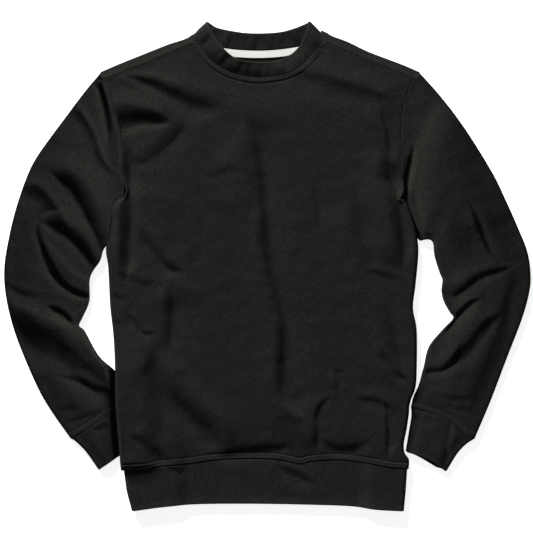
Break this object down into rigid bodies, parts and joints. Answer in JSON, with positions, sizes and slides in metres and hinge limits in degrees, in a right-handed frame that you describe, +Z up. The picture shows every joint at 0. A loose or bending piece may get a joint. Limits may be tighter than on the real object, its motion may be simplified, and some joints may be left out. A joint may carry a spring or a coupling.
{
  "type": "crewneck sweatshirt",
  "caption": "Long-sleeved crewneck sweatshirt laid flat face up, sides turned under, sleeves bent in beside the body, rib neckband, cuffs and hem band.",
  "frame": {"origin": "centre of the bounding box's underside, on the surface that the garment lies on", "axes": "+Z up from that surface, +Y from the hem to the neck, +X to the viewer's right when looking down at the front"},
  "size_m": [0.7803, 0.7229, 0.0205],
  "materials": {
    "black_fleece_jersey": "matt brushed-back cotton fleece, smooth jersey face",
    "black_rib_knit": "matt rib knit, doubled",
    "white_woven_tape": "plain woven cotton tape"
  },
  "bodies": {
    "root": {"front_panel": "black_fleece_jersey", "back_panel": "black_fleece_jersey", "sleeve_left": "black_fleece_jersey", "sleeve_right": "black_fleece_jersey", "neckband": "black_rib_knit", "cuff_left": "black_rib_knit", "cuff_right": "black_rib_knit", "hem_band": "black_rib_knit", "neck_tape": "white_woven_tape"}
  },
  "joints": []
}
